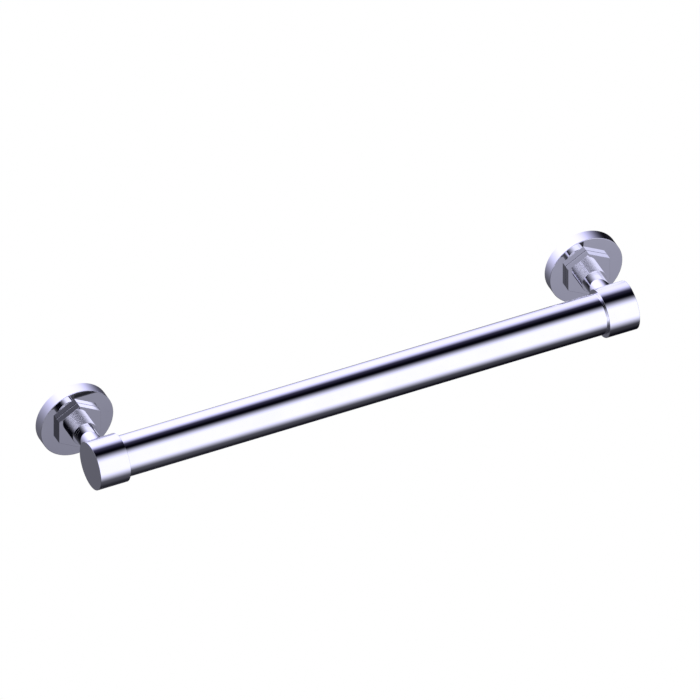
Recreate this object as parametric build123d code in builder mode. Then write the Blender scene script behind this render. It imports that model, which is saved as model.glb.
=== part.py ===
from build123d import *
import os
from math import cos, pi, sin

# A grab bar: a round tube with an end cap at each end, carried on two turned posts that stand on round
# wall flanges. The origin lies on the wall, midway between the flanges. +X runs along the bar, +Y goes
# into the wall and +Z is up. Distances from the wall are measured along -Y. All sizes are in millimetres.

# Fits, all radial
slip_clearance = 0.08  # tube in cap, plug in tube
post_clearance = 0.06  # post in the cap, tube and plug
thread_clearance = 0.05  # stands for the play of a thread
plate_clearance = 0.4  # wall plate inside the flange
stud_hole_clearance = 0.3  # stud through the flange

# Bar
post_spacing = 417.7  # between the two post axes
bar_diameter = 31.75
bar_wall = 1.65

# End caps
cap_wall = 2.9
cap_end_wall = 3.2
cap_margin = 4.35  # from the post to either end
cap_edge_chamfer = 0.3

# Wall plates
plate_thickness = 5.0
screw_count = 3
screw_hole_diameter = 5.6
screw_head_diameter = 10.8
screw_head_angle = 90.0
screw_edge_margin = 2.7  # from the screw head to the plate's edge

# Flanges
flange_diameter = 59.4
flange_face_wall = 4.65
flange_rim_wall = 3.2
flange_edge_chamfer = 0.3

# Hexagon nuts
nut_across_flats = 34.0
nut_thickness = 5.0
nut_edge_chamfer = 0.5  # where it meets the flange

# Studs
stud_diameter = 12.0
stud_recess = 0.6  # from the wall to its back end
stud_end_gap = 0.5  # to the bottom of the tapped hole

# Knurled collars
collar_step = 2.0  # from the shank out to the rib tips
collar_length = 8.85
rib_count = 96
rib_depth = 0.24

# Posts
shank_wall = 2.0  # round the stud
shank_length = 16.85  # visible, from the collar to the cap
shank_gap = 0.12  # between its front end and the tube
tapped_depth = 11.0
spigot_diameter = 13.2
spigot_overrun = 5.0  # past the bar's axis

# Tube plugs
plug_margin = 9.0  # past the spigot, towards the middle of the bar

# Set screws
set_screw_diameter = 6.0
set_screw_recess = 0.8  # below the surface of the cap
socket_across_flats = 3.0
socket_depth = 3.2

# Radii and lengths that follow from the sizes above
bar_radius = bar_diameter / 2
bar_bore_radius = bar_radius - bar_wall
spigot_radius = spigot_diameter / 2
stud_radius = stud_diameter / 2
shank_radius = stud_radius + shank_wall
collar_radius = shank_radius + collar_step
cap_bore_radius = bar_radius + slip_clearance
cap_radius = cap_bore_radius + cap_wall
post_inset = cap_margin + shank_radius
cap_length = 2 * post_inset
overall_length = post_spacing + 2 * post_inset
tube_length = overall_length - 2 * cap_end_wall
plug_radius = bar_bore_radius - slip_clearance
plug_length = post_inset - cap_end_wall + spigot_radius + plug_margin
shank_hole_radius = shank_radius + post_clearance
spigot_hole_radius = spigot_radius + post_clearance
thread_hole_radius = stud_radius + thread_clearance
set_screw_radius = set_screw_diameter / 2
set_screw_hole_radius = set_screw_radius + thread_clearance
set_screw_length = cap_radius - set_screw_recess - spigot_radius
flange_radius = flange_diameter / 2
plate_radius = flange_radius - flange_rim_wall - plate_clearance
screw_circle_radius = plate_radius - screw_edge_margin - screw_head_diameter / 2

# Stations along a post, as distances from the wall
flange_front = plate_thickness + flange_face_wall
nut_front = flange_front + nut_thickness
collar_front = nut_front + collar_length
bar_axis_distance = collar_front + shank_length + cap_radius
shank_end = bar_axis_distance - bar_radius - shank_gap
spigot_end = bar_axis_distance + spigot_overrun
stud_front = collar_front + tapped_depth - stud_end_gap

os.makedirs("parts", exist_ok=True)

sides = {"left": -1, "right": 1}


def post_plane(side):
    """The plane of the wall at one post: its normal points out of the wall, its y axis up."""
    return Plane(origin=(side * post_spacing / 2, 0, 0), x_dir=(1, 0, 0), z_dir=(0, -1, 0))


def end_plane(side, inset):
    """A plane across the bar, inset from its end: the normal points to the middle of the bar."""
    end_x = side * (overall_length / 2 - inset)
    return Plane(origin=(end_x, -bar_axis_distance, 0), x_dir=(0, 0, 1), z_dir=(-side, 0, 0))


def screw_plane(side):
    """The plane under one spigot where the set screw's tip bears: its normal points down."""
    origin = (side * post_spacing / 2, -bar_axis_distance, -spigot_radius)
    return Plane(origin=origin, x_dir=(1, 0, 0), z_dir=(0, 0, -1))


def rib_outline():
    """Points round the collar, in turn on the rib tips and in the valleys between them."""
    points = []
    for step in range(2 * rib_count):
        angle = pi * step / rib_count
        radius = collar_radius if step % 2 == 0 else collar_radius - rib_depth
        points.append((radius * cos(angle), radius * sin(angle)))
    return points


post_planes = [post_plane(side) for side in sides.values()]
screw_planes = [screw_plane(side) for side in sides.values()]

# The tube, with a hole at the back of each end for the spigot and one below for the set screw
with BuildPart() as bar_tube:
    with BuildSketch(end_plane(sides["left"], cap_end_wall)):
        Circle(bar_radius)
        Circle(bar_bore_radius, mode=Mode.SUBTRACT)
    extrude(amount=tube_length)
    with BuildSketch(*post_planes):
        Circle(spigot_hole_radius)
    extrude(amount=bar_axis_distance, mode=Mode.SUBTRACT)
    with BuildSketch(*screw_planes):
        Circle(set_screw_hole_radius)
    extrude(amount=cap_radius, mode=Mode.SUBTRACT)
bar_tube.part.label = "bar_tube"
export_step(bar_tube.part, "parts/bar_tube.step")

for side_name, side in sides.items():
    wall = post_plane(side)

    # A cup over the tube's end, with a hole that takes the whole post and one for the set screw
    with BuildPart() as end_cap:
        with BuildSketch(end_plane(side, 0)):
            Circle(cap_radius)
        extrude(amount=cap_length)
        chamfer(end_cap.edges().filter_by(GeomType.CIRCLE), cap_edge_chamfer)
        with BuildSketch(end_plane(side, cap_end_wall)):
            Circle(cap_bore_radius)
        extrude(amount=cap_length, mode=Mode.SUBTRACT)
        with BuildSketch(wall):
            Circle(shank_hole_radius)
        extrude(amount=bar_axis_distance, mode=Mode.SUBTRACT)
        with BuildSketch(screw_plane(side)):
            Circle(set_screw_hole_radius)
        extrude(amount=cap_radius, mode=Mode.SUBTRACT)
    end_cap.part.label = f"{side_name}_end_cap"
    export_step(end_cap.part, f"parts/{end_cap.part.label}.step")

    # A solid plug in the tube's end, bored across for the spigot and tapped below for the set screw
    with BuildPart() as tube_plug:
        with BuildSketch(end_plane(side, cap_end_wall)):
            Circle(plug_radius)
        extrude(amount=plug_length)
        with BuildSketch(wall):
            Circle(spigot_hole_radius)
        extrude(amount=spigot_end, mode=Mode.SUBTRACT)
        with BuildSketch(screw_plane(side)):
            Circle(set_screw_hole_radius)
        extrude(amount=cap_radius, mode=Mode.SUBTRACT)
    tube_plug.part.label = f"{side_name}_tube_plug"
    export_step(tube_plug.part, f"parts/{tube_plug.part.label}.step")

    # The turned post: a shank into the cap and a spigot into the plug, tapped at the back for the stud
    with BuildPart() as post:
        with BuildSketch(wall.offset(collar_front)):
            Circle(shank_radius)
        extrude(amount=shank_end - collar_front)
        with BuildSketch(wall.offset(shank_end)):
            Circle(spigot_radius)
        extrude(amount=spigot_end - shank_end)
        with BuildSketch(wall.offset(collar_front)):
            Circle(thread_hole_radius)
        extrude(amount=tapped_depth, mode=Mode.SUBTRACT)
    post.part.label = f"{side_name}_post"
    export_step(post.part, f"parts/{post.part.label}.step")

    # The ribbed lock ring behind the shank
    with BuildPart() as knurled_collar:
        with BuildSketch(wall.offset(nut_front)):
            with BuildLine():
                Polyline(*rib_outline(), close=True)
            make_face()
            Circle(thread_hole_radius, mode=Mode.SUBTRACT)
        extrude(amount=collar_length)
    knurled_collar.part.label = f"{side_name}_knurled_collar"
    export_step(knurled_collar.part, f"parts/{knurled_collar.part.label}.step")

    # The hexagon nut that clamps the flange, with a corner at the top and one at the bottom
    with BuildPart() as hex_nut:
        with BuildSketch(wall.offset(flange_front)):
            RegularPolygon(nut_across_flats / 2, 6, major_radius=False, rotation=90)
        extrude(amount=nut_thickness)
        chamfer(hex_nut.faces().sort_by(Axis.Y)[-1].edges(), nut_edge_chamfer)
        with BuildSketch(wall.offset(flange_front)):
            Circle(thread_hole_radius)
        extrude(amount=nut_thickness, mode=Mode.SUBTRACT)
    hex_nut.part.label = f"{side_name}_hex_nut"
    export_step(hex_nut.part, f"parts/{hex_nut.part.label}.step")

    # The round cover, hollow at the back to take the wall plate
    with BuildPart() as flange:
        with BuildSketch(wall):
            Circle(flange_radius)
        extrude(amount=flange_front)
        chamfer(flange.faces().sort_by(Axis.Y)[0].edges(), flange_edge_chamfer)
        with BuildSketch(wall):
            Circle(flange_radius - flange_rim_wall)
        extrude(amount=plate_thickness, mode=Mode.SUBTRACT)
        with BuildSketch(wall):
            Circle(stud_radius + stud_hole_clearance)
        extrude(amount=flange_front, mode=Mode.SUBTRACT)
    flange.part.label = f"{side_name}_flange"
    export_step(flange.part, f"parts/{flange.part.label}.step")

    # The plate that is screwed to the wall, with countersunk holes on a circle round the stud
    with BuildPart() as wall_plate:
        with BuildSketch(wall):
            Circle(plate_radius)
            Circle(thread_hole_radius, mode=Mode.SUBTRACT)
        extrude(amount=plate_thickness)
        with Locations(wall.offset(plate_thickness)):
            with PolarLocations(screw_circle_radius, screw_count, start_angle=90):
                CounterSinkHole(
                    radius=screw_hole_diameter / 2,
                    counter_sink_radius=screw_head_diameter / 2,
                    depth=plate_thickness,
                    counter_sink_angle=screw_head_angle,
                )
    wall_plate.part.label = f"{side_name}_wall_plate"
    export_step(wall_plate.part, f"parts/{wall_plate.part.label}.step")

    # The stud from the wall plate into the post
    with BuildPart() as stud:
        with BuildSketch(wall.offset(stud_recess)):
            Circle(stud_radius)
        extrude(amount=stud_front - stud_recess)
    stud.part.label = f"{side_name}_stud"
    export_step(stud.part, f"parts/{stud.part.label}.step")

# The two set screws, tips up against the spigots, sockets facing down
with BuildPart() as set_screws:
    with BuildSketch(*screw_planes):
        Circle(set_screw_radius)
    extrude(amount=set_screw_length)
    with BuildSketch(*[plane.offset(set_screw_length) for plane in screw_planes]):
        RegularPolygon(socket_across_flats / 2, 6, major_radius=False)
    extrude(amount=-socket_depth, mode=Mode.SUBTRACT)
set_screws.part.label = "set_screws"
export_step(set_screws.part, "parts/set_screws.step")

print(f"overall length {overall_length:.2f}, bar axis {bar_axis_distance:.2f} from the wall")
print(f"post inset {post_inset:.2f}, cap {2 * cap_radius:.2f} x {cap_length:.2f}")
print(f"collar {2 * collar_radius:.2f}, shank {2 * shank_radius:.2f}")
print(f"screw circle {2 * screw_circle_radius:.2f}, plate {2 * plate_radius:.2f}")
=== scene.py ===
"""Looks of the grab bar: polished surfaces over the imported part, a light tent, a floor and a camera."""

import logging
import math
from abc import ABC, abstractmethod
from dataclasses import dataclass, field, replace
from enum import Enum
from typing import Any, ClassVar

import bpy
import numpy as np
from mathutils import Matrix, Vector


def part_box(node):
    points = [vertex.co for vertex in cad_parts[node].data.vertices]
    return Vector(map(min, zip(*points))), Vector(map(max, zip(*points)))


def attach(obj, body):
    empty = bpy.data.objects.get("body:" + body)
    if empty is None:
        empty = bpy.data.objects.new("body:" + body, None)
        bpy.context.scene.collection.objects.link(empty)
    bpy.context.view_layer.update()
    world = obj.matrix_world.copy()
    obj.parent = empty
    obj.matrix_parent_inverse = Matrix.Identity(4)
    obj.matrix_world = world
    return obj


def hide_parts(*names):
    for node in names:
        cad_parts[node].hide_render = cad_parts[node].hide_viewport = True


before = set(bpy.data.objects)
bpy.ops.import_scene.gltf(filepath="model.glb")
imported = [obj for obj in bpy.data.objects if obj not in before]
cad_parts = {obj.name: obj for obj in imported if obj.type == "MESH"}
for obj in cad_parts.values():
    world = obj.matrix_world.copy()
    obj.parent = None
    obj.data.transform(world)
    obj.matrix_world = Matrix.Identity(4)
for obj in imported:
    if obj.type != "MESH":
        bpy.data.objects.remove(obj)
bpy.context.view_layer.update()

Array = np.ndarray
Triple = tuple[float, float, float]
Colour = Triple

LOG = logging.getLogger("grab_bar")
METRES = 0.001  # the object's sizes below are in millimetres, the studio's in metres
BODY = "root"
SHARP_ANGLE = math.radians(32.0)
ARC_STEPS = 5  # in a rounded edge
EDGE_HOLD = 0.12  # from a rounded edge to the points that keep the flat beside it flat
NARROW_HOLD = 0.05  # the same, where other points stand close by


class Side(Enum):
    """The two ends of the bar, as the nodes' names give them."""

    LEFT = "left"
    RIGHT = "right"

    def node(self, piece: str) -> str:
        """The name of this side's node of one kind."""
        return f"{self.value}_{piece}"


class Slot(Enum):
    """The record's material slots."""

    CHROME = "polished_chrome"
    STEEL = "bare_steel"
    BRASS = "raw_brass"


# Surfaces


@dataclass(frozen=True)
class Axis:
    """A straight axis and two directions across it, a right-handed set of unit vectors."""

    origin: Array
    across: Array
    up: Array
    along: Array

    def place(self, radius: Array, angle: Array, distance: Array) -> Array:
        """Points at a radius and an angle round the axis and a distance along it.

        The formula is origin + distance * along + radius * (cos(angle) * across + sin(angle) * up).

        Args:
            radius: Distances from the axis, in millimetres.
            angle: Angles from the across direction towards up, in radians.
            distance: Distances along the axis from its origin.

        Returns:
            An array of points with one more dimension than the inputs.
        """
        radius, angle, distance = np.broadcast_arrays(radius, angle, distance)
        outward = np.cos(angle)[..., None] * self.across + np.sin(angle)[..., None] * self.up
        return self.origin + distance[..., None] * self.along + radius[..., None] * outward


@dataclass(frozen=True)
class Surface:
    """A closed skin: points in millimetres, and faces of four and of three corners."""

    points: Array
    quads: Array
    triangles: Array

    def signed_volume(self) -> float:
        """Adds up the pyramids from the origin to the faces' triangles.

        Returns:
            The volume inside, negative if the faces point inwards.
        """
        quads = np.concatenate([self.quads[:, (0, 1, 2)], self.quads[:, (0, 2, 3)]])
        corners = self.points[np.concatenate([quads, self.triangles])]
        return float(np.einsum("ij,ij->", corners[:, 0], np.cross(corners[:, 1], corners[:, 2])) / 6)

    def outward(self) -> "Surface":
        """Turns the faces round if they point inwards.

        Returns:
            The same skin with its faces pointing outwards.
        """
        if self.signed_volume() >= 0:
            return self
        return replace(self, quads=self.quads[:, ::-1], triangles=self.triangles[:, ::-1])

    def trimmed(self) -> "Surface":
        """Leaves out the points that no face uses.

        Returns:
            The same skin with its points numbered anew.
        """
        used, renumbered = np.unique(
            np.concatenate([self.quads.ravel(), self.triangles.ravel()]), return_inverse=True
        )
        quads = renumbered[: self.quads.size].reshape(-1, 4)
        triangles = renumbered[self.quads.size :].reshape(-1, 3)
        return replace(self, points=self.points[used], quads=quads, triangles=triangles)

    def mesh(self, name: str) -> bpy.types.Mesh:
        """Makes a mesh that is smooth but for its real corners.

        Args:
            name: The mesh's name.

        Returns:
            The mesh, in metres.
        """
        mesh = bpy.data.meshes.new(name)
        faces = self.quads.tolist() + self.triangles.tolist()
        mesh.from_pydata((self.points * METRES).tolist(), [], faces)
        mesh.set_sharp_from_angle(angle=SHARP_ANGLE)
        mesh.update()
        return mesh


def rounded_corners(
    chain: Array, radii: Array, steps: int = ARC_STEPS, hold: float = EDGE_HOLD
) -> Array:
    """Rounds each inner corner of a chain of straight runs.

    At a corner with half angle h, the arc of radius r touches both runs at r / tan(h) from the corner, and
    its centre lies on the bisector at r / sin(h). The arc's points are turned evenly from one touching
    point to the other. One more point on each run, a little further off, keeps the flat beside it flat.

    Args:
        chain: Points of the runs, two columns. The first and the last are ends, the others are corners.
        radii: One radius for each corner.
        steps: Steps in each arc.
        hold: Distance of the extra points from the arc's ends.

    Returns:
        An array with one row of points for each corner.
    """
    corner = chain[1:-1]
    back = chain[:-2] - corner
    ahead = chain[2:] - corner
    back /= np.linalg.norm(back, axis=1, keepdims=True)
    ahead /= np.linalg.norm(ahead, axis=1, keepdims=True)
    half = np.arccos(np.clip((back * ahead).sum(1), -1, 1))[:, None] / 2
    radius = np.asarray(radii, float)[:, None]
    reach = radius / np.tan(half)
    bisector = (back + ahead) / np.linalg.norm(back + ahead, axis=1, keepdims=True)
    centre = corner + bisector * radius / np.sin(half)
    start, end = corner + back * reach - centre, corner + ahead * reach - centre
    turn = (np.pi - 2 * half)[:, None, :]
    share = np.linspace(0, 1, steps + 1)[None, :, None]
    spread = np.sin((1 - share) * turn) * start[:, None] + np.sin(share * turn) * end[:, None]
    arc = centre[:, None] + spread / np.sin(turn)
    before = (corner + back * (reach + hold))[:, None]
    after = (corner + ahead * (reach + hold))[:, None]
    return np.concatenate([before, arc, after], axis=1)


def closed_chain(corners: Array) -> Array:
    """A ring of corners as a chain whose ends repeat its last and first corner."""
    return np.concatenate([corners[-1:], corners, corners[:1]])


def grid_quads(rows: int, columns: int, ring: bool) -> Array:
    """Faces of a grid that always closes on itself across its columns.

    Args:
        rows: Rows of points.
        columns: Points in each row.
        ring: Whether the last row also joins the first.

    Returns:
        Four point numbers for each face, row by row.
    """
    row = np.arange(rows if ring else rows - 1)[:, None]
    column = np.arange(columns)[None, :]
    next_row, next_column = (row + 1) % rows, (column + 1) % columns
    corners = (
        row * columns + column,
        row * columns + next_column,
        next_row * columns + next_column,
        next_row * columns + column,
    )
    return np.stack(corners, -1).reshape(-1, 4)


def even_angles(count: int) -> Array:
    """Angles in equal steps once round."""
    return np.arange(count) * 2 * np.pi / count


def ring_surface(axis: Axis, distance: Array, radius: Array, angle: Array) -> Surface:
    """A skin whose profile is a closed loop that is carried once round an axis.

    Args:
        axis: The axis.
        distance: Distance along the axis of each profile point, or of each profile point at each angle.
        radius: Radius of each profile point, or of each profile point at each angle.
        angle: Angles round the axis.

    Returns:
        The closed skin, facing outwards.
    """
    radius = radius if radius.ndim == 2 else radius[:, None]
    distance = distance if distance.ndim == 2 else distance[:, None]
    points = axis.place(radius, angle[None, :], distance)
    quads = grid_quads(len(distance), len(angle), ring=True)
    return Surface(points.reshape(-1, 3), quads, np.empty((0, 3), int)).outward()


def pole_fans(rows: int, columns: int) -> Array:
    """Triangles that close the first and the last row of a grid, each on a pole of its own.

    Args:
        rows: Rows of points.
        columns: Points in each row.

    Returns:
        Three point numbers for each triangle. The poles are numbered after the grid's points, the first
        row's pole before the last row's.
    """
    column = np.arange(columns)
    after = np.roll(column, -1)
    last = (rows - 1) * columns
    pole = np.full_like(column, rows * columns)
    first_fan = np.stack([pole, after, column], -1)
    last_fan = np.stack([pole + 1, last + column, last + after], -1)
    return np.concatenate([first_fan, last_fan])


def poled_surface(axis: Axis, profile: Array, angle: Array) -> Surface:
    """A skin whose profile starts and ends on the axis and is carried once round it.

    Args:
        axis: The axis.
        profile: Radius and distance of each point. The first and last have radius 0 and become poles.
        angle: Angles round the axis.

    Returns:
        The closed skin, with fans of triangles at its two poles.
    """
    rows = profile[1:-1]
    points = axis.place(rows[:, :1], angle[None, :], rows[:, 1:]).reshape(-1, 3)
    poles = axis.place(np.zeros(2), np.zeros(2), profile[[0, -1], 1])
    quads = grid_quads(len(rows), len(angle), ring=False)
    fans = pole_fans(len(rows), len(angle))
    return Surface(np.concatenate([points, poles]), quads, fans).outward()


@dataclass(frozen=True)
class CrossHole:
    """A round hole drilled square to a bar's axis, as rings of the bar's own grid.

    The ring numbered core lies on the hole's edge and the ring numbered reach is where the grid is left as
    it is. In between, a point moves in a straight line from the circle to the square patch.
    """

    station: float
    angle: float
    radius: float
    core: int
    reach: int

    def ring_numbers(self, row_step: Array, column_step: Array) -> Array:
        """The ring of each grid point: the larger of its steps along and across from the hole's centre."""
        return np.maximum(np.abs(row_step)[:, None], np.abs(column_step)[None, :])


@dataclass(frozen=True)
class DrilledGrid:
    """The grid of a round bar or cup, bent round its cross holes.

    Rows run along the bar and columns round it. In a hole's patch the rows are row_pitch apart, and the
    columns are column_pitch apart in the sine of their angle times the outer radius, so that the hole is a
    true circle.
    """

    axis: Axis
    radius: float
    row_pitch: float
    column_pitch: float
    holes: tuple[CrossHole, ...]
    open_step: float = math.radians(2.4)

    def directions(self) -> dict[float, int]:
        """Finds the angles that holes are drilled at.

        Returns:
            The angles in order, each with its widest patch in steps.
        """
        widest: dict[float, int] = {}
        for hole in self.holes:
            widest[hole.angle] = max(widest.get(hole.angle, 0), hole.reach)
        return dict(sorted(widest.items()))

    def angles(self) -> tuple[Array, dict[float, int]]:
        """The columns' angles: even steps of the sine in each patch, and even steps of angle between them.

        Returns:
            The angles, and the number of the column at the middle of each patch.
        """
        patches = [
            (angle, angle + np.arcsin(np.arange(-reach, reach + 1) * self.column_pitch / self.radius))
            for angle, reach in self.directions().items()
        ]
        runs: list[Array] = []
        middle: dict[float, int] = {}
        count = 0
        for number, (angle, patch) in enumerate(patches):
            following = patches[(number + 1) % len(patches)][1][0]
            gap = (following - patch[-1]) % (2 * np.pi)
            between = patch[-1] + np.linspace(0, gap, max(2, round(gap / self.open_step)) + 1)[1:-1]
            middle[angle] = count + len(patch) // 2
            runs += [patch, between]
            count += len(patch) + len(between)
        return np.concatenate(runs), middle

    def stations(self, hole: CrossHole) -> Array:
        """The rows' distances along the bar in a hole's patch."""
        return hole.station + np.arange(-hole.reach, hole.reach + 1) * self.row_pitch

    def bend(self, hole: CrossHole, radius: float, rows: Array, column_step: Array) -> tuple[Array, Array]:
        """Where a hole's patch puts its points.

        Each point lies on a spoke from the hole's centre. Its place is (1 - share) times the spoke's point
        on the hole's edge plus share times its point on the patch's border, where the share grows from 0 at
        the core ring to 1 at the reach ring.

        Args:
            hole: The hole.
            radius: Radius of the skin that is drilled, the outer or the inner one.
            rows: Steps along the bar from the hole's centre, one for each row.
            column_step: Steps round the bar from the hole's centre, one for each column.

        Returns:
            The distance along the bar and the angle of each point.
        """
        ring = np.maximum(hole.ring_numbers(rows, column_step), 1)
        share = np.clip((ring - hole.core) / (hole.reach - hole.core), 0, 1)
        row, column = np.broadcast_arrays(rows[:, None], column_step[None, :])
        spoke = np.maximum(np.hypot(row, column), 1)
        edge = share * hole.reach / ring
        along = (1 - share) * hole.radius * row / spoke + edge * self.row_pitch * row
        across = (1 - share) * hole.radius * column / spoke
        across = across + edge * self.column_pitch * column * radius / self.radius
        return hole.station + along, hole.angle + np.arcsin(across / radius)

    def skin(self, profile: Array, outer: Array, inner: Array, ring: bool) -> Surface:
        """Carries a profile round the bar and drills the holes through its outer and inner rows.

        Args:
            profile: Radius and distance of each row, poles left out.
            outer: For each hole, the number of the outer row at its centre.
            inner: For each hole, the number of the inner row at its centre. Inner rows run backwards.
            ring: Whether the last row joins the first.

        Returns:
            The skin, with open ends where the profile isn't a ring.
        """
        angle, middle = self.angles()
        columns = len(angle)
        distance = np.repeat(profile[:, 1:], columns, axis=1)
        turned = np.repeat(angle[None, :], len(profile), axis=0)
        row_number, column_number = np.arange(len(profile)), np.arange(columns)
        numbers = row_number[:, None] * columns + column_number[None, :]
        quads = grid_quads(len(profile), columns, ring)
        gone = np.zeros(len(quads), bool)
        walls: list[Array] = []
        for hole, outer_row, inner_row in zip(self.holes, outer, inner):
            column_step = (column_number - middle[hole.angle] + columns // 2) % columns - columns // 2
            edges: list[Array] = []
            for centre, way in ((outer_row, 1), (inner_row, -1)):
                rows = np.arange(centre - hole.reach, centre + hole.reach + 1)
                row_step = (rows - centre) * way
                near = np.abs(column_step) <= hole.reach
                place = np.ix_(rows, near)
                radius = float(profile[centre, 0])
                distance[place], turned[place] = self.bend(hole, radius, row_step, column_step[near])
                ring_number = np.full((len(profile), columns), columns)
                ring_number[rows] = hole.ring_numbers(row_step, column_step)
                gone |= (ring_number.ravel()[quads] <= hole.core).all(axis=1)
                on_edge = ring_number == hole.core
                steps = np.full(len(profile), 0)
                steps[rows] = row_step
                bearing = np.arctan2(column_step[None, :], steps[:, None])[on_edge]
                edges.append(numbers[on_edge][np.argsort(bearing)])
            outside, inside = edges
            walls.append(np.stack([outside, inside, np.roll(inside, -1), np.roll(outside, -1)], -1))
        points = self.axis.place(profile[:, :1], turned, distance).reshape(-1, 3)
        return Surface(points, np.concatenate([quads[~gone], *walls]), np.empty((0, 3), int))

    def wall(self, ends: Array, rows: Array, bore_radius: float, centres: Array, ring: bool) -> Surface:
        """A drilled wall whose profile runs along its outer face and back along its bore.

        Args:
            ends: Points of the profile's four edges in order, two of the outer face and two of the bore.
            rows: Distances of the points between the edges of the outer face. The bore has the same.
            bore_radius: Radius of the bore.
            centres: For each hole, which of these points is at its centre.
            ring: Whether the profile closes on itself.

        Returns:
            The skin, with open ends where the profile isn't a ring.
        """
        outer = np.stack([np.full_like(rows, self.radius), rows], -1)
        bore = np.stack([np.full_like(rows, bore_radius), rows[::-1]], -1)
        profile = np.concatenate([ends[0], outer, ends[1], ends[2], bore, ends[3]])
        first_outer, last_bore = len(ends[0]), len(profile) - len(ends[3]) - 1
        return self.skin(profile, first_outer + centres, last_bore - centres, ring)


# Finishes

MIX_LOW, MIX_HIGH, MIX_RESULT = 6, 7, 2  # the colour sockets of a Mix node
HAZE_RANGE = (0.3, 0.7)  # of the noise, spread over 0 to 1
STREAK_RANGE = (0.25, 0.75)
STREAK_DEPTH = 0.00002  # in metres


@dataclass
class NodeSheet:
    """A node tree with short ways to add and join nodes."""

    tree: bpy.types.NodeTree

    def add(self, kind: str, **settings: Any) -> bpy.types.Node:
        """Adds a node and sets its properties, and its inputs where a setting's name is an input's.

        Args:
            kind: The node's type name.
            settings: Properties, or input names with spaces as underscores.

        Returns:
            The node.
        """
        node = self.tree.nodes.new(kind)
        for name, value in settings.items():
            if hasattr(node, name):
                setattr(node, name, value)
            else:
                node.inputs[name.replace("_", " ")].default_value = value
        return node

    def join(self, source: bpy.types.NodeSocket, target: bpy.types.NodeSocket) -> None:
        """Links an output to an input."""
        self.tree.links.new(source, target)

    def feed(self, node: bpy.types.Node, values: tuple[Any, ...]) -> None:
        """Sets or links a node's inputs in order.

        Args:
            node: The node.
            values: A constant or an output for each input.
        """
        for socket, value in zip(node.inputs, values):
            if isinstance(value, bpy.types.NodeSocket):
                self.join(value, socket)
            else:
                socket.default_value = value

    def math(self, operation: str, *values: Any) -> bpy.types.NodeSocket:
        """A Math node on numbers or outputs.

        Args:
            operation: The operation's name.
            values: A number or an output for each input.

        Returns:
            The result.
        """
        node = self.add("ShaderNodeMath", operation=operation)
        self.feed(node, values)
        return node.outputs[0]

    def vector(self, operation: str, *values: Any) -> bpy.types.Node:
        """A Vector Math node on vectors or outputs.

        Args:
            operation: The operation's name.
            values: A vector or an output for each input.

        Returns:
            The node.
        """
        node = self.add("ShaderNodeVectorMath", operation=operation)
        self.feed(node, values)
        return node

    def blend(self, factor: bpy.types.NodeSocket, low: Colour, high: Colour) -> bpy.types.NodeSocket:
        """A colour that goes from one to another with a factor.

        Args:
            factor: The share of the second colour.
            low: The first colour.
            high: The second colour.

        Returns:
            The colour.
        """
        node = self.add("ShaderNodeMix", data_type="RGBA")
        self.join(factor, node.inputs[0])
        node.inputs[MIX_LOW].default_value = (*low, 1.0)
        node.inputs[MIX_HIGH].default_value = (*high, 1.0)
        return node.outputs[MIX_RESULT]

    def spread(
        self, value: bpy.types.NodeSocket, low: float, high: float, start: float = 0.0, end: float = 1.0
    ) -> bpy.types.NodeSocket:
        """Spreads a value between start and end over low to high.

        Args:
            value: The value.
            low: What start becomes.
            high: What end becomes.
            start: Lowest value.
            end: Highest value.

        Returns:
            The spread value.
        """
        node = self.add("ShaderNodeMapRange", From_Min=start, From_Max=end, To_Min=low, To_Max=high)
        self.join(value, node.inputs["Value"])
        return node.outputs[0]


def blank_material(name: str) -> tuple[bpy.types.Material, NodeSheet]:
    """A new material that has no nodes yet.

    Args:
        name: The material's name.

    Returns:
        The material, and the sheet for its nodes.
    """
    material = bpy.data.materials.new(name)
    material.use_nodes = True
    material.node_tree.nodes.clear()
    return material, NodeSheet(material.node_tree)


def marks_group() -> bpy.types.NodeTree:
    """The group that all metals share: soft haze and fine streaks, as masks from 0 to 1.

    Haze is slow noise on the place. Streaks are fast noise on the place squeezed by Stretch, so that they
    run long in the direction with the smallest number.

    Returns:
        The node group, with inputs Haze Scale, Streak Scale and Stretch and outputs Haze and Streaks.
    """
    tree = bpy.data.node_groups.new("metal_marks", "ShaderNodeTree")
    for name, kind in (
        ("Haze Scale", "NodeSocketFloat"),
        ("Streak Scale", "NodeSocketFloat"),
        ("Stretch", "NodeSocketVector"),
    ):
        tree.interface.new_socket(name, in_out="INPUT", socket_type=kind)
    for name in ("Haze", "Streaks"):
        tree.interface.new_socket(name, in_out="OUTPUT", socket_type="NodeSocketFloat")
    sheet = NodeSheet(tree)
    inputs, outputs = sheet.add("NodeGroupInput"), sheet.add("NodeGroupOutput")
    place = sheet.add("ShaderNodeTexCoord").outputs["Object"]
    haze = sheet.add("ShaderNodeTexNoise", Detail=3.0, Roughness=0.55)
    sheet.join(place, haze.inputs["Vector"])
    sheet.join(inputs.outputs["Haze Scale"], haze.inputs["Scale"])
    squeezed = sheet.vector("MULTIPLY", place, inputs.outputs["Stretch"])
    streaks = sheet.add("ShaderNodeTexNoise", Detail=4.0, Roughness=0.7)
    sheet.join(squeezed.outputs[0], streaks.inputs["Vector"])
    sheet.join(inputs.outputs["Streak Scale"], streaks.inputs["Scale"])
    sheet.join(sheet.spread(haze.outputs["Fac"], 0.0, 1.0, *HAZE_RANGE), outputs.inputs["Haze"])
    sheet.join(sheet.spread(streaks.outputs["Fac"], 0.0, 1.0, *STREAK_RANGE), outputs.inputs["Streaks"])
    return tree


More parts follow.
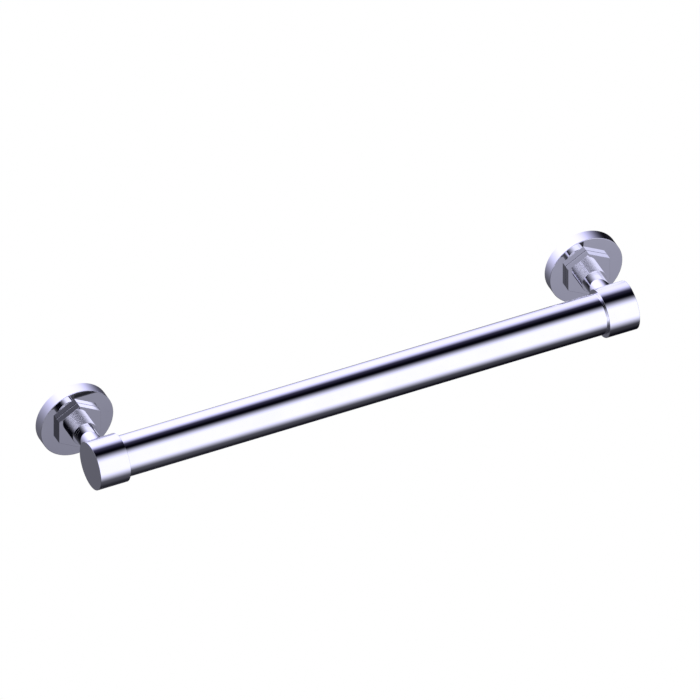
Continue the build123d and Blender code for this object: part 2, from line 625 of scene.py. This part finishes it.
@dataclass(frozen=True)
class MetalFinish:
    """A bare or plated metal: two tones, a range of roughness, and marks at a given scale."""

    name: str
    slot: Slot
    low_tone: Colour
    high_tone: Colour
    smoothest: float
    roughest: float
    haze_scale: float
    streak_scale: float
    stretch: Triple
    bump: float
    streak_share: float

    def material(self, marks: bpy.types.NodeTree) -> bpy.types.Material:
        """Builds the material.

        Args:
            marks: The shared group of haze and streaks.

        Returns:
            A metal whose tone follows the haze and whose roughness follows haze and streaks.
        """
        material, sheet = blank_material(self.name)
        output = sheet.add("ShaderNodeOutputMaterial")
        shader = sheet.add("ShaderNodeBsdfPrincipled", Metallic=1.0)
        group = sheet.add("ShaderNodeGroup", node_tree=marks)
        group.inputs["Haze Scale"].default_value = self.haze_scale
        group.inputs["Streak Scale"].default_value = self.streak_scale
        group.inputs["Stretch"].default_value = self.stretch
        haze, streaks = group.outputs["Haze"], group.outputs["Streaks"]
        mixed = sheet.math("ADD", haze, sheet.math("MULTIPLY", streaks, self.streak_share))
        share = sheet.math("DIVIDE", mixed, 1.0 + self.streak_share)
        sheet.join(sheet.blend(share, self.low_tone, self.high_tone), shader.inputs["Base Color"])
        sheet.join(sheet.spread(share, self.roughest, self.smoothest), shader.inputs["Roughness"])
        bump = sheet.add("ShaderNodeBump", Strength=self.bump, Distance=STREAK_DEPTH)
        sheet.join(streaks, bump.inputs["Height"])
        sheet.join(bump.outputs[0], shader.inputs["Normal"])
        sheet.join(shader.outputs[0], output.inputs["Surface"])
        return material


CHROME = MetalFinish(
    name="polished_chrome_plate",
    slot=Slot.CHROME,
    low_tone=(0.86, 0.86, 0.875),
    high_tone=(0.9, 0.9, 0.91),
    smoothest=0.015,
    roughest=0.035,
    haze_scale=45.0,
    streak_scale=900.0,
    stretch=(0.25, 1.0, 1.0),
    bump=0.015,
    streak_share=0.25,
)
# The knurled collar's chrome is painted darker all over than the polished chrome: painted shade for the
# shade between its ribs.
SHADED_KNURL = replace(
    CHROME, name="knurled_chrome_painted_shade", low_tone=(0.77, 0.77, 0.785), high_tone=(0.82, 0.82, 0.83)
)
STEEL = MetalFinish(
    name="rolled_steel",
    slot=Slot.STEEL,
    low_tone=(0.42, 0.42, 0.43),
    high_tone=(0.6, 0.6, 0.61),
    smoothest=0.28,
    roughest=0.46,
    haze_scale=140.0,
    streak_scale=700.0,
    stretch=(0.06, 1.0, 1.0),
    bump=0.35,
    streak_share=1.2,
)
BRASS = MetalFinish(
    name="turned_brass",
    slot=Slot.BRASS,
    low_tone=(0.5, 0.33, 0.13),
    high_tone=(0.8, 0.58, 0.27),
    smoothest=0.2,
    roughest=0.42,
    haze_scale=120.0,
    streak_scale=900.0,
    stretch=(1.0, 0.08, 0.08),
    bump=0.3,
    streak_share=0.8,
)


@dataclass
class Workshop:
    """Makes finishes once and turns skins into pieces of the object."""

    marks: bpy.types.NodeTree = field(default_factory=marks_group)
    made: dict[str, bpy.types.Material] = field(default_factory=dict)

    def finish(self, finish: MetalFinish) -> bpy.types.Material:
        """Gives a finish's material, built the first time that it is asked for.

        Args:
            finish: The finish.

        Returns:
            Its material.
        """
        if finish.name not in self.made:
            self.made[finish.name] = finish.material(self.marks)
        return self.made[finish.name]

    def piece(self, name: str, skin: Surface, finish: MetalFinish, node: str) -> None:
        """Makes a piece of the object that stands for one of its nodes and rides on its body.

        Args:
            name: The piece's name.
            skin: Its surface.
            finish: Its finish.
            node: The node that it stands for.
        """
        piece = bpy.data.objects.new(name, skin.mesh(name))
        piece.data.materials.append(self.finish(finish))
        bpy.context.scene.collection.objects.link(piece)
        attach(piece, BODY)
        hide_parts(node)
        LOG.info("%s: %d points, %d faces", name, len(piece.data.vertices), len(piece.data.polygons))

    def dress(self, node: str, finish: MetalFinish) -> None:
        """Gives one of the part's own nodes a finish.

        Args:
            node: The node.
            finish: Its finish.
        """
        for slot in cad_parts[node].material_slots:
            slot.material = self.finish(finish)
        LOG.info("%s: %s", node, finish.name)


# The object


def node_box(node: str) -> tuple[Array, Array]:
    """The lowest and highest corner of a node, in millimetres."""
    low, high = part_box(node)
    return np.array(low) / METRES, np.array(high) / METRES


def post_axis(side: Side) -> Axis:
    """The axis of one post, through the middle of its flange.

    Args:
        side: The post's side.

    Returns:
        The axis, from the wall outwards.
    """
    low, high = node_box(side.node("flange"))
    origin = np.array([(low[0] + high[0]) / 2, 0.0, (low[2] + high[2]) / 2])
    return Axis(origin, np.array([1.0, 0, 0]), np.array([0, 0, 1.0]), np.array([0, -1.0, 0]))


def bar_axis() -> Axis:
    """The axis of the bar, through the middle of its tube.

    Returns:
        The axis, from the bar's middle to the right, with its across direction towards the wall.
    """
    low, high = node_box("bar_tube")
    origin = np.array([0.0, (low[1] + high[1]) / 2, (low[2] + high[2]) / 2])
    return Axis(origin, np.array([0, 1.0, 0]), np.array([0, 0, 1.0]), np.array([1.0, 0, 0]))


BACK, BELOW = 0.0, 1.5 * math.pi  # angles round the bar


@dataclass
class BarTube:
    """The straight tube, drilled at the back of each end for the post and below for the set screw."""

    bore_radius: float = 14.225
    post_hole_radius: float = 6.66
    screw_hole_radius: float = 3.05
    pitch: float = 0.9  # of the grid at the holes, along the tube and round it
    post_rings: tuple[int, int] = (6, 9)  # of the grid, at a hole's edge and at its patch's border
    screw_rings: tuple[int, int] = (3, 6)
    edge_radius: float = 0.15
    edge_steps: int = 2
    middle_rows: int = 40

    def skin(self) -> Surface:
        """The tube's wall as one ring profile: outer face, end, bore, end.

        Returns:
            The drilled skin.
        """
        low, high = node_box("bar_tube")
        half, radius = (high[0] - low[0]) / 2, (high[2] - low[2]) / 2
        posts = [float(post_axis(side).origin[0]) for side in Side]
        holes = tuple(
            CrossHole(post, angle, hole_radius, *rings)
            for post in posts
            for angle, hole_radius, rings in (
                (BACK, self.post_hole_radius, self.post_rings),
                (BELOW, self.screw_hole_radius, self.screw_rings),
            )
        )
        grid = DrilledGrid(bar_axis(), radius, self.pitch, self.pitch, holes)
        post_holes = [hole for hole in holes if hole.angle == BACK]
        left, right = (grid.stations(hole) for hole in post_holes)
        middle = np.linspace(left[-1], right[0], self.middle_rows + 2)[1:-1]
        rows = np.concatenate([left, middle, right])
        corners = np.array(
            [[radius, -half], [radius, half], [self.bore_radius, half], [self.bore_radius, -half]]
        )
        radii = np.full(len(corners), self.edge_radius)
        ends = rounded_corners(closed_chain(corners), radii, self.edge_steps, NARROW_HOLD)
        first = post_holes[0].reach
        last = len(rows) - 1 - first
        skin = grid.wall(ends, rows, self.bore_radius, np.array([first, first, last, last]), ring=True)
        return skin.trimmed().outward()

    def build(self, shop: Workshop) -> None:
        """Makes the tube."""
        shop.piece("bar_tube_skin", self.skin(), CHROME, "bar_tube")


@dataclass
class SidePiece(ABC):
    """A piece that the bar has on each side, made as a skin for the node of its kind."""

    kind: ClassVar[str]
    finish: ClassVar[MetalFinish] = CHROME
    side: Side

    @property
    def node(self) -> str:
        """The name of this piece's node."""
        return self.side.node(self.kind)

    @abstractmethod
    def skin(self) -> Surface:
        """The piece's skin, from its node's box and its own sizes."""

    def build(self, shop: Workshop) -> None:
        """Makes the piece."""
        shop.piece(f"{self.node}_skin", self.skin(), self.finish, self.node)


@dataclass
class EndCap(SidePiece):
    """One cup over the tube's end, drilled for the post and the set screw."""

    kind: ClassVar[str] = "end_cap"
    bore_radius: float = 15.955
    end_wall: float = 3.2
    post_hole_radius: float = 8.06
    screw_hole_radius: float = 3.05
    row_pitch: float = 0.9
    column_pitch: float = 1.1
    post_rings: tuple[int, int] = (8, 10)
    screw_rings: tuple[int, int] = (3, 6)
    edge_radius: float = 0.3
    bore_edge_radius: float = 0.15
    bottom_radius: float = 0.05  # of the corner between the bore and the end wall

    def skin(self) -> Surface:
        """The cup as one profile from the middle of its outer end to the middle of its inner end.

        Returns:
            The drilled skin, closed on two poles.
        """
        low, high = node_box(self.node)
        way = 1.0 if self.side is Side.LEFT else -1.0
        closed_end = low[0] if self.side is Side.LEFT else high[0]
        length, radius = high[0] - low[0], (high[2] - low[2]) / 2
        bar = bar_axis()
        origin = np.array([closed_end, bar.origin[1], bar.origin[2]])
        axis = Axis(origin, bar.across, bar.up * way, bar.along * way)
        below = BELOW if self.side is Side.LEFT else BELOW - math.pi
        station = float((post_axis(self.side).origin[0] - closed_end) * way)
        holes = (
            CrossHole(station, BACK, self.post_hole_radius, *self.post_rings),
            CrossHole(station, below, self.screw_hole_radius, *self.screw_rings),
        )
        grid = DrilledGrid(axis, radius, self.row_pitch, self.column_pitch, holes)
        rows = grid.stations(holes[0])
        chain = np.array(
            [
                [0, 0],
                [radius, 0],
                [radius, length],
                [self.bore_radius, length],
                [self.bore_radius, self.end_wall],
                [0, self.end_wall],
            ]
        )
        radii = np.array([self.edge_radius, self.edge_radius, self.bore_edge_radius, self.bottom_radius])
        ends = rounded_corners(chain, radii, hold=NARROW_HOLD)
        skin = grid.wall(ends, rows, self.bore_radius, np.full(len(holes), holes[0].reach), ring=False)
        poles = axis.place(np.zeros(2), np.zeros(2), np.array([0.0, self.end_wall]))
        columns = len(grid.angles()[0])
        fans = pole_fans(len(skin.points) // columns, columns)
        return Surface(np.concatenate([skin.points, poles]), skin.quads, fans).trimmed().outward()


@dataclass
class Post(SidePiece):
    """One turned post: a shank into the cap's wall and a spigot into the plug, tapped at the back."""

    kind: ClassVar[str] = "post"
    spigot_radius: float = 6.6
    shank_gap: float = 0.12
    thread_radius: float = 6.05
    thread_depth: float = 11.0
    edge_radius: float = 0.1
    bottom_radius: float = 0.05  # of the corner at the bottom of the tapped hole
    columns: int = 128

    def skin(self) -> Surface:
        """The post as one profile from the bottom of its tapped hole to the end of its spigot.

        Returns:
            The skin, closed on two poles.
        """
        low, high = node_box(self.node)
        start, end, radius = -high[1], -low[1], (high[2] - low[2]) / 2
        tube_back = -node_box("bar_tube")[1][1]
        shoulder, bottom = tube_back - self.shank_gap, start + self.thread_depth
        chain = np.array(
            [
                [0, bottom],
                [self.thread_radius, bottom],
                [self.thread_radius, start],
                [radius, start],
                [radius, shoulder],
                [self.spigot_radius, shoulder],
                [self.spigot_radius, end],
                [0, end],
            ]
        )
        radii = np.full(len(chain) - 2, self.edge_radius)
        radii[0] = self.bottom_radius
        profile = rounded_corners(chain, radii).reshape(-1, 2)
        profile = np.concatenate([chain[:1], profile, chain[-1:]])
        return poled_surface(post_axis(self.side), profile, even_angles(self.columns))


@dataclass
class KnurledCollar(SidePiece):
    """One lock ring with fine straight ribs along it, turned off round at each end."""

    kind: ClassVar[str] = "knurled_collar"
    # Darker chrome than the other pieces: painted shade for the ribs' valleys.
    finish: ClassVar[MetalFinish] = SHADED_KNURL
    bore_radius: float = 6.05
    rib_count: int = 96
    rib_points: int = 12
    rib_depth: float = 0.22
    crispness: float = 0.97
    edge_radius: float = 0.23
    edge_steps: int = 2
    edge_hold: float = NARROW_HOLD

    def edge(self, depth: Array) -> tuple[Array, Array]:
        """The rounded edge at one end of the ribs, from the ribs to the end face.

        The edge is a quarter circle, and the ribs run on until they meet it: at a depth, that is where the
        circle's cosine is one less the depth over the edge's radius. Even steps of angle follow from there.

        Args:
            depth: The ribs' depth at each angle round the collar.

        Returns:
            How far in from the ribs' tips and how far short of the end face each point lies, row by row. The
            last row lies on the face, a little further in, and keeps it flat.
        """
        first = np.arccos(1 - depth / self.edge_radius)[None, :]
        turn = first + np.linspace(0, 1, self.edge_steps + 1)[:, None] * (np.pi / 2 - first)
        inwards = np.concatenate([1 - np.cos(turn), np.ones_like(first)]) * self.edge_radius
        inwards[-1] += self.edge_hold
        return inwards, np.concatenate([1 - np.sin(turn), np.zeros_like(first)]) * self.edge_radius

    def skin(self) -> Surface:
        """The ring: back face, rounded edge, ribs, rounded edge, front face and bore.

        A rib's depth follows the arc sine of the crispness times the cosine of its turn: a zigzag whose tips
        and valleys are rounded.

        Returns:
            The closed skin.
        """
        low, high = node_box(self.node)
        start, end, radius = -high[1], -low[1], (high[2] - low[2]) / 2
        angle = even_angles(self.rib_count * self.rib_points)
        zigzag = np.arcsin(self.crispness * np.cos(self.rib_count * angle)) / math.asin(self.crispness)
        depth = self.rib_depth * (1 - zigzag) / 2
        inwards, short = self.edge(depth)
        bore = np.full((1, len(angle)), self.bore_radius)
        radii = np.concatenate([bore, radius - inwards[::-1], radius - inwards, bore])
        ends = np.full_like(bore, start), start + short[::-1], end - short, np.full_like(bore, end)
        return ring_surface(post_axis(self.side), np.concatenate(ends), radii, angle)


@dataclass
class HexNut(SidePiece):
    """One flat hexagon nut with a corner at the top."""

    kind: ClassVar[str] = "hex_nut"
    bore_radius: float = 6.05
    bore_edge_radius: float = 0.1
    front_edge_radius: float = 0.08
    back_edge_radius: float = 0.35
    edge_steps: int = 4
    corner_radius: float = 0.1
    flats: int = 6
    flat_points: int = 14  # between two corners, so that the bore is round as well
    squared_within: float = 0.5  # of the flats, where the faces' outline has become a hexagon

    def outline(self) -> tuple[Array, Array]:
        """The hexagon for an apothem of one: angles, and the radius at each.

        Each side has its two ends beside a rounded corner and even points between them.

        Returns:
            Angles round the axis and the radius there.
        """
        low, high = node_box(self.node)
        rounding = 2 * self.corner_radius / (high[0] - low[0])
        tips = np.pi / 2 + even_angles(self.flats)
        corners = np.stack([np.cos(tips), np.sin(tips)], -1) / math.cos(math.pi / self.flats)
        arcs = rounded_corners(closed_chain(corners), np.full(self.flats, rounding), hold=rounding)
        share = np.linspace(0, 1, self.flat_points + 2)[None, 1:-1, None]
        runs = arcs[:, -1:] + share * (np.roll(arcs[:, :1], -1, axis=0) - arcs[:, -1:])
        points = np.concatenate([arcs, runs], axis=1).reshape(-1, 2)
        return np.arctan2(points[:, 1], points[:, 0]), np.hypot(points[:, 0], points[:, 1])

    def skin(self) -> Surface:
        """The nut: a profile whose outline goes from a circle at the bore to a hexagon at the flats.

        The radius is the profile's, times one at the bore and times the hexagon's radius at the flats.

        Returns:
            The closed skin.
        """
        low, high = node_box(self.node)
        start, end, apothem = -high[1], -low[1], (high[0] - low[0]) / 2
        corners = np.array(
            [[self.bore_radius, start], [apothem, start], [apothem, end], [self.bore_radius, end]]
        )
        bore_edge = self.bore_edge_radius
        radii = np.array([bore_edge, self.back_edge_radius, self.front_edge_radius, bore_edge])
        profile = rounded_corners(closed_chain(corners), radii, self.edge_steps).reshape(-1, 2)
        angle, hexagon = self.outline()
        turning = apothem - self.bore_radius - self.squared_within
        squareness = np.clip((profile[:, :1] - self.bore_radius) / turning, 0, 1)
        radius = profile[:, :1] * (1 - squareness + squareness * hexagon[None, :])
        return ring_surface(post_axis(self.side), profile[:, 1], radius, angle)


@dataclass
class Flange(SidePiece):
    """One round cover, hollow at the back."""

    kind: ClassVar[str] = "flange"
    rim_wall: float = 3.2
    face_wall: float = 4.65
    stud_hole_radius: float = 6.3
    edge_radius: float = 0.3
    rim_edge_radius: float = 0.2  # at the wall
    inner_edge_radius: float = 0.1
    edge_steps: int = 8
    columns: int = 192

    def skin(self) -> Surface:
        """The cover as one ring profile: rim, face, stud hole, back of the face, inside of the rim.

        Returns:
            The closed skin.
        """
        low, high = node_box(self.node)
        front, radius = -low[1], (high[0] - low[0]) / 2
        inside, back = radius - self.rim_wall, front - self.face_wall
        corners = np.array(
            [
                [radius, 0],
                [radius, front],
                [self.stud_hole_radius, front],
                [self.stud_hole_radius, back],
                [inside, back],
                [inside, 0],
            ]
        )
        rim, inner = self.rim_edge_radius, self.inner_edge_radius
        radii = np.array([rim, self.edge_radius, inner, inner, inner, rim])
        profile = rounded_corners(closed_chain(corners), radii, self.edge_steps).reshape(-1, 2)
        return ring_surface(post_axis(self.side), profile[:, 1], profile[:, 0], even_angles(self.columns))


@dataclass
class Hardware:
    """The pieces inside, whose own nodes stay and get a finish."""

    def build(self, shop: Workshop) -> None:
        """Dresses the wall plates, studs, plugs and set screws.

        Args:
            shop: The workshop that has the finishes.
        """
        for side in Side:
            shop.dress(side.node("wall_plate"), STEEL)
            shop.dress(side.node("stud"), STEEL)
            shop.dress(side.node("tube_plug"), BRASS)
        shop.dress("set_screws", STEEL)


# The studio


@dataclass(frozen=True)
class SoftPanel:
    """A round soft patch of light or shade on the tent's wall.

    Its strength is full within one angle of its middle and falls smoothly to nothing at another.
    """

    azimuth: float  # from behind the object towards its right, in degrees
    elevation: float
    full_angle: float
    dark_angle: float
    colour: Colour

    def direction(self) -> Triple:
        """Turns the two angles into a direction.

        Returns:
            The unit vector from the tent's middle to the panel's middle.
        """
        azimuth, elevation = math.radians(self.azimuth), math.radians(self.elevation)
        flat = math.cos(elevation)
        return math.sin(azimuth) * flat, math.cos(azimuth) * flat, math.sin(elevation)


@dataclass
class LightTent:
    """A dark round tent with soft panels, a grey card and some dim fill, which only reflections see."""

    centre: Triple = (0.5, -0.47, 0.41)
    radius: float = 1.85
    panels: tuple[SoftPanel, ...] = (
        SoftPanel(-16.5, 9.5, 19.5, 51.5, (0.98, 0.97, 1.45)),  # behind
        SoftPanel(162.5, 7.5, 33.5, 84.5, (1.12, 1.12, 1.46)),  # in front, to the right
        SoftPanel(-22.5, 28.5, 0.0, 54.5, (0.12, 0.11, 0.235)),  # glow above the one behind
        SoftPanel(-37.5, -11.0, 20.0, 70.0, (0.125, 0.125, 0.155)),  # fill, low behind
        SoftPanel(211.0, -60.5, 0.0, 50.0, (0.10, 0.10, 0.125)),  # fill, low in front
    )
    # The card dims the right side of the panel in front
    card: SoftPanel = SoftPanel(94.5, -1.0, 25.5, 45.0, (0.60, 0.59, 0.53))
    side_panels: tuple[SoftPanel, ...] = (
        SoftPanel(-80.0, -5.0, 18.0, 27.0, (0.26, 0.26, 0.31)),  # on the left
        SoftPanel(-142.0, -10.0, 6.0, 25.0, (0.42, 0.42, 0.50)),  # in front, to the left
        SoftPanel(70.0, -21.0, 10.0, 38.0, (0.42, 0.42, 0.50)),  # on the right
    )
    cloth: Colour = (0.002, 0.002, 0.005)
    columns: int = 96

    def material(self) -> bpy.types.Material:
        """The tent's glow: dark cloth and the panels, less what the card holds back, and the side panels.

        Returns:
            The glowing material.
        """
        material, sheet = blank_material("tent_cloth")
        place = sheet.add("ShaderNodeTexCoord").outputs["Object"]
        from_middle = sheet.vector("SUBTRACT", place, self.centre).outputs[0]
        towards = sheet.vector("NORMALIZE", from_middle).outputs[0]
        glow: Any = self.cloth
        for panel in self.panels:
            glow = sheet.vector("ADD", glow, self.patch(sheet, towards, panel)).outputs[0]
        kept = sheet.vector("SUBTRACT", (1.0, 1.0, 1.0), self.patch(sheet, towards, self.card)).outputs[0]
        glow = sheet.vector("MULTIPLY", glow, kept).outputs[0]
        for panel in self.side_panels:
            glow = sheet.vector("ADD", glow, self.patch(sheet, towards, panel)).outputs[0]
        emission = sheet.add("ShaderNodeEmission")
        sheet.join(glow, emission.inputs["Color"])
        output = sheet.add("ShaderNodeOutputMaterial")
        sheet.join(emission.outputs[0], output.inputs["Surface"])
        return material

    def patch(
        self, sheet: NodeSheet, towards: bpy.types.NodeSocket, panel: SoftPanel
    ) -> bpy.types.NodeSocket:
        """A panel's colour, scaled by a smooth step over the angle between its middle and a direction.

        Args:
            sheet: The tent's nodes.
            towards: The direction from the tent's middle.
            panel: The panel.

        Returns:
            The colour.
        """
        cosine = sheet.vector("DOT_PRODUCT", towards, panel.direction()).outputs["Value"]
        step = sheet.add(
            "ShaderNodeMapRange",
            interpolation_type="SMOOTHSTEP",
            From_Min=panel.dark_angle,
            From_Max=panel.full_angle,
        )
        sheet.join(sheet.math("DEGREES", sheet.math("ARCCOSINE", cosine)), step.inputs["Value"])
        light = sheet.vector("SCALE", panel.colour)
        sheet.join(step.outputs[0], light.inputs["Scale"])
        return light.outputs[0]

    def build(self) -> None:
        """Makes the tent, a half circle carried once round the upright."""
        turn = np.linspace(-np.pi / 2, np.pi / 2, self.columns // 2 + 1)
        radius = self.radius / METRES
        profile = np.stack([radius * np.cos(turn), radius * np.sin(turn)], -1)
        profile[[0, -1], 0] = 0
        origin = np.array(self.centre) / METRES
        axis = Axis(origin, np.array([1.0, 0, 0]), np.array([0, 1.0, 0]), np.array([0, 0, 1.0]))
        skin = poled_surface(axis, profile, even_angles(self.columns))
        tent = bpy.data.objects.new("light_tent", skin.mesh("light_tent"))
        tent.data.materials.append(self.material())
        bpy.context.scene.collection.objects.link(tent)
        tent.visible_camera = False
        tent.visible_shadow = False


@dataclass
class Floor:
    """A plain white floor under the tent and a white world behind it."""

    height: float = -1.6
    half_width: float = 12.0
    tone: Colour = (1.0, 1.0, 1.0)

    def whiten(self, tree: bpy.types.NodeTree, plain_kind: str, output_kind: str) -> None:
        """Gives a tree a plain shader, in place of which the camera, metal and glass see plain white.

        Args:
            tree: The node tree.
            plain_kind: Type name of the shader that other light sees.
            output_kind: Type name of the output node.
        """
        tree.nodes.clear()
        sheet = NodeSheet(tree)
        plain = sheet.add(plain_kind, Color=(*self.tone, 1.0))
        path = sheet.add("ShaderNodeLightPath")
        seen = sheet.math("ADD", path.outputs["Is Camera Ray"], path.outputs["Is Glossy Ray"])
        seen = sheet.math("ADD", seen, path.outputs["Is Transmission Ray"])
        seen = sheet.math("MINIMUM", seen, 1.0)
        glow = sheet.add("ShaderNodeEmission", Color=(*self.tone, 1.0), Strength=1.0)
        mix = sheet.add("ShaderNodeMixShader")
        sheet.join(seen, mix.inputs[0])
        sheet.join(plain.outputs[0], mix.inputs[1])
        sheet.join(glow.outputs[0], mix.inputs[2])
        sheet.join(mix.outputs[0], sheet.add(output_kind).inputs["Surface"])

    def build(self) -> None:
        """Makes the floor and the world."""
        side = np.array([-1.0, 1.0]) * self.half_width / METRES
        x, y = np.meshgrid(side, side)
        points = np.stack([x, y, np.full_like(x, self.height / METRES)], -1).reshape(-1, 3)
        skin = Surface(points, np.array([[0, 1, 3, 2]]), np.empty((0, 3), int))
        floor = bpy.data.objects.new("floor", skin.mesh("floor"))
        material = bpy.data.materials.new("floor_white")
        material.use_nodes = True
        self.whiten(material.node_tree, "ShaderNodeBsdfDiffuse", "ShaderNodeOutputMaterial")
        floor.data.materials.append(material)
        bpy.context.scene.collection.objects.link(floor)
        world = bpy.data.worlds.new("studio")
        world.use_nodes = True
        self.whiten(world.node_tree, "ShaderNodeBackground", "ShaderNodeOutputWorld")
        bpy.context.scene.world = world


@dataclass(frozen=True)
class PhotoCamera:
    """A camera without perspective, at the photograph's angle."""

    azimuth: float = -25.03  # from in front of the object towards its right, in degrees
    elevation: float = 39.89
    width: float = 0.5204
    target: Triple = (-0.02278, -0.09063, 0.06625)
    distance: float = 0.9
    clip: tuple[float, float] = (0.01, 30.0)

    def build(self) -> None:
        """Makes the camera and hands it to the scene."""
        azimuth, elevation = math.radians(self.azimuth), math.radians(self.elevation)
        flat = math.cos(elevation)
        back = Vector((math.sin(azimuth) * flat, -math.cos(azimuth) * flat, math.sin(elevation)))
        right = Vector((math.cos(azimuth), math.sin(azimuth), 0.0))
        up = back.cross(right)
        data = bpy.data.cameras.new("photo_camera")
        data.type = "ORTHO"
        data.ortho_scale = self.width
        data.clip_start, data.clip_end = self.clip
        camera = bpy.data.objects.new("photo_camera", data)
        turned = Matrix((right, up, back)).transposed().to_4x4()
        camera.matrix_world = Matrix.Translation(Vector(self.target) + back * self.distance) @ turned
        bpy.context.scene.collection.objects.link(camera)
        bpy.context.scene.camera = camera


def main() -> None:
    """Builds the object's pieces in order, then the studio, the floor and the camera."""
    logging.basicConfig(level=logging.INFO, format="%(name)s: %(message)s")
    bpy.context.scene.view_settings.view_transform = "Standard"
    shop = Workshop()
    BarTube().build(shop)
    for side in Side:
        for piece in (EndCap, Post, KnurledCollar, HexNut, Flange):
            piece(side).build(shop)
    Hardware().build(shop)
    LightTent().build()
    Floor().build()
    PhotoCamera().build()


if __name__ == "__main__":
    main()
